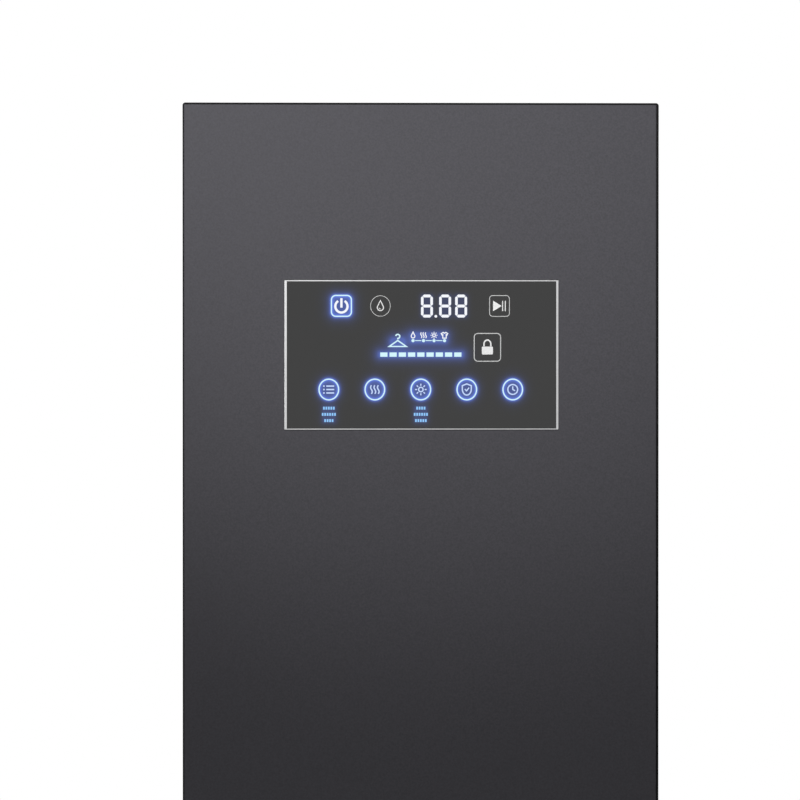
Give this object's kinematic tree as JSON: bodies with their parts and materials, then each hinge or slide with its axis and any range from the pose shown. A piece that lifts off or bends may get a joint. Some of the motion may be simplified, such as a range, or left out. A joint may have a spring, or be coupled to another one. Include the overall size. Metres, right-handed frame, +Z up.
{
  "type": "steam dryer closet",
  "caption": "Tall slim garment steam dryer closet with a full-height hinged door, a touch control panel in the door, a hanging rail, lift-out water tanks and a blower.",
  "frame": {"origin": "on the floor, under the middle of the closet's width and depth", "axes": "+Z up, -Y out of the door's front, +X towards the hinge side, which is on the right seen from the front"},
  "size_m": [0.445, 0.5854, 1.85],
  "materials": {
    "door_paint": "fine textured dark grey powder coat",
    "cabinet_paint": "fine textured dark grey powder coat",
    "galvanised": "dull galvanised sheet",
    "edge_black": "moulded, lightly grained",
    "liner_white": "moulded satin",
    "machine_plastic": "moulded matt",
    "foam": "closed cell foam",
    "bezel_silver": "satin, clear coated",
    "smoked_glass": "polished, printed black behind",
    "circuit_board": "solder resist",
    "digit_lamp": "moulded",
    "seal_rubber": "soft satin",
    "hinge_steel": "plated",
    "bush_white": "acetal",
    "tank_clear": "smoky translucent",
    "tank_lid_grey": "moulded satin",
    "handle_grey": "moulded satin",
    "cap_blue": "moulded",
    "filter_grey": "moulded",
    "rail_chrome": "polished",
    "socket_grey": "moulded",
    "shelf_wire": "bright wire, welded",
    "hanger_plastic": "moulded satin",
    "lamp_diffuser": "opal",
    "motor_metal": "satin",
    "impeller_plastic": "moulded",
    "heater_metal": "bare fins",
    "boiler_metal": "cast, blasted",
    "hose_silicone": "soft matt",
    "pump_plastic": "moulded",
    "gland_black": "nylon",
    "foot_black": "matt"
  },
  "bodies": {
    "cabinet": {"left_side_panel": "cabinet_paint", "right_side_panel": "cabinet_paint", "top_panel": "cabinet_paint", "back_panel": "galvanised", "base_pan": "galvanised", "lower_front_cover": "machine_plastic", "left_liner": "liner_white", "right_liner": "liner_white", "back_liner": "liner_white", "ceiling_liner": "liner_white", "chamber_floor": "liner_white", "foam_insulation": "foam", "tank_wells": "machine_plastic", "hanging_rail": "rail_chrome", "rail_sockets": "socket_grey", "lamp_lens": "lamp_diffuser", "top_hinge_bracket": "hinge_steel", "bottom_hinge_bracket": "hinge_steel", "top_hinge_cover": "edge_black", "blower_scroll": "machine_plastic", "blower_inlet_cover": "machine_plastic", "blower_motor": "motor_metal", "outlet_duct": "heater_metal", "heater_core": "heater_metal", "steam_generator": "boiler_metal", "steam_nozzle": "filter_grey", "steam_hose": "hose_silicone", "feed_pump": "pump_plastic", "feed_hose": "hose_silicone", "control_box": "machine_plastic", "cord_gland": "gland_black", "rear_feet": "foot_black"},
    "door": {"door_skin": "door_paint", "door_top_cap": "edge_black", "door_bottom_cap": "edge_black", "door_grip_trim": "edge_black", "door_hinge_trim": "edge_black", "door_liner": "liner_white", "door_gasket": "seal_rubber", "door_insulation": "foam", "hinge_bushes": "bush_white", "panel_bezel": "bezel_silver", "touch_glass": "smoked_glass", "display_board": "circuit_board", "digit_module": "digit_lamp"},
    "fill_tank_body": {"fill_tank": "tank_clear", "fill_tank_lid": "tank_lid_grey"},
    "fill_handle": {"fill_tank_handle": "handle_grey"},
    "fill_cap_body": {"fill_cap": "cap_blue"},
    "drain_tank_body": {"drain_tank": "tank_clear", "drain_tank_lid": "tank_lid_grey"},
    "drain_handle": {"drain_tank_handle": "handle_grey"},
    "lint_filter_body": {"lint_filter": "filter_grey"},
    "shelf": {"wire_shelf": "shelf_wire"},
    "hanger_left": {"left_hanger": "hanger_plastic"},
    "hanger_right": {"right_hanger": "hanger_plastic"},
    "impeller": {"blower_impeller": "impeller_plastic"},
    "foot_left": {"front_left_foot": "foot_black"},
    "foot_right": {"front_right_foot": "foot_black"}
  },
  "joints": [
    {"name": "door_swing", "type": "hinge", "parent": "cabinet", "child": "door", "pos_m": [0.2065, -0.2655, 0.956], "axis": [0, 0, 1], "range_deg": [0, 115]},
    {"name": "fill_tank_lift", "type": "slide", "parent": "cabinet", "child": "fill_tank_body", "axis": [0, 0, 1], "range_m": [0, 0.17]},
    {"name": "fill_handle_fold", "type": "hinge", "parent": "fill_tank_body", "child": "fill_handle", "pos_m": [-0.097, -0.1395, 0.3538], "axis": [-1, 0, 0], "range_deg": [0, 90]},
    {"name": "fill_cap_flip", "type": "hinge", "parent": "fill_tank_body", "child": "fill_cap_body", "pos_m": [-0.097, -0.1426, 0.3533], "axis": [-1, 0, 0], "range_deg": [0, 110]},
    {"name": "drain_tank_lift", "type": "slide", "parent": "cabinet", "child": "drain_tank_body", "axis": [0, 0, 1], "range_m": [0, 0.17]},
    {"name": "drain_handle_fold", "type": "hinge", "parent": "drain_tank_body", "child": "drain_handle", "pos_m": [0.097, -0.1395, 0.3538], "axis": [-1, 0, 0], "range_deg": [0, 90]},
    {"name": "lint_filter_lift", "type": "slide", "parent": "cabinet", "child": "lint_filter_body", "axis": [0, 0, 1], "range_m": [0, 0.06]},
    {"name": "shelf_lift", "type": "slide", "parent": "cabinet", "child": "shelf", "axis": [0, 0, 1], "range_m": [0, 0.3]},
    {"name": "left_hanger_swing", "type": "hinge", "parent": "cabinet", "child": "hanger_left", "pos_m": [-0.095, 0.00875, 1.6995], "axis": [1, 0, 0], "range_deg": [-20, 20]},
    {"name": "right_hanger_swing", "type": "hinge", "parent": "cabinet", "child": "hanger_right", "pos_m": [0.095, 0.00875, 1.6995], "axis": [1, 0, 0], "range_deg": [-20, 20]},
    {"name": "blower_spin", "type": "hinge", "parent": "cabinet", "child": "impeller", "pos_m": [0, 0.046, 0.262], "axis": [0, 0, 1], "continuous": true},
    {"name": "front_left_foot_turn", "type": "hinge", "parent": "cabinet", "child": "foot_left", "pos_m": [-0.1775, -0.1935, 0.022], "axis": [0, 0, 1], "continuous": true},
    {"name": "front_right_foot_turn", "type": "hinge", "parent": "cabinet", "child": "foot_right", "pos_m": [0.1775, -0.1935, 0.022], "axis": [0, 0, 1], "continuous": true}
  ]
}
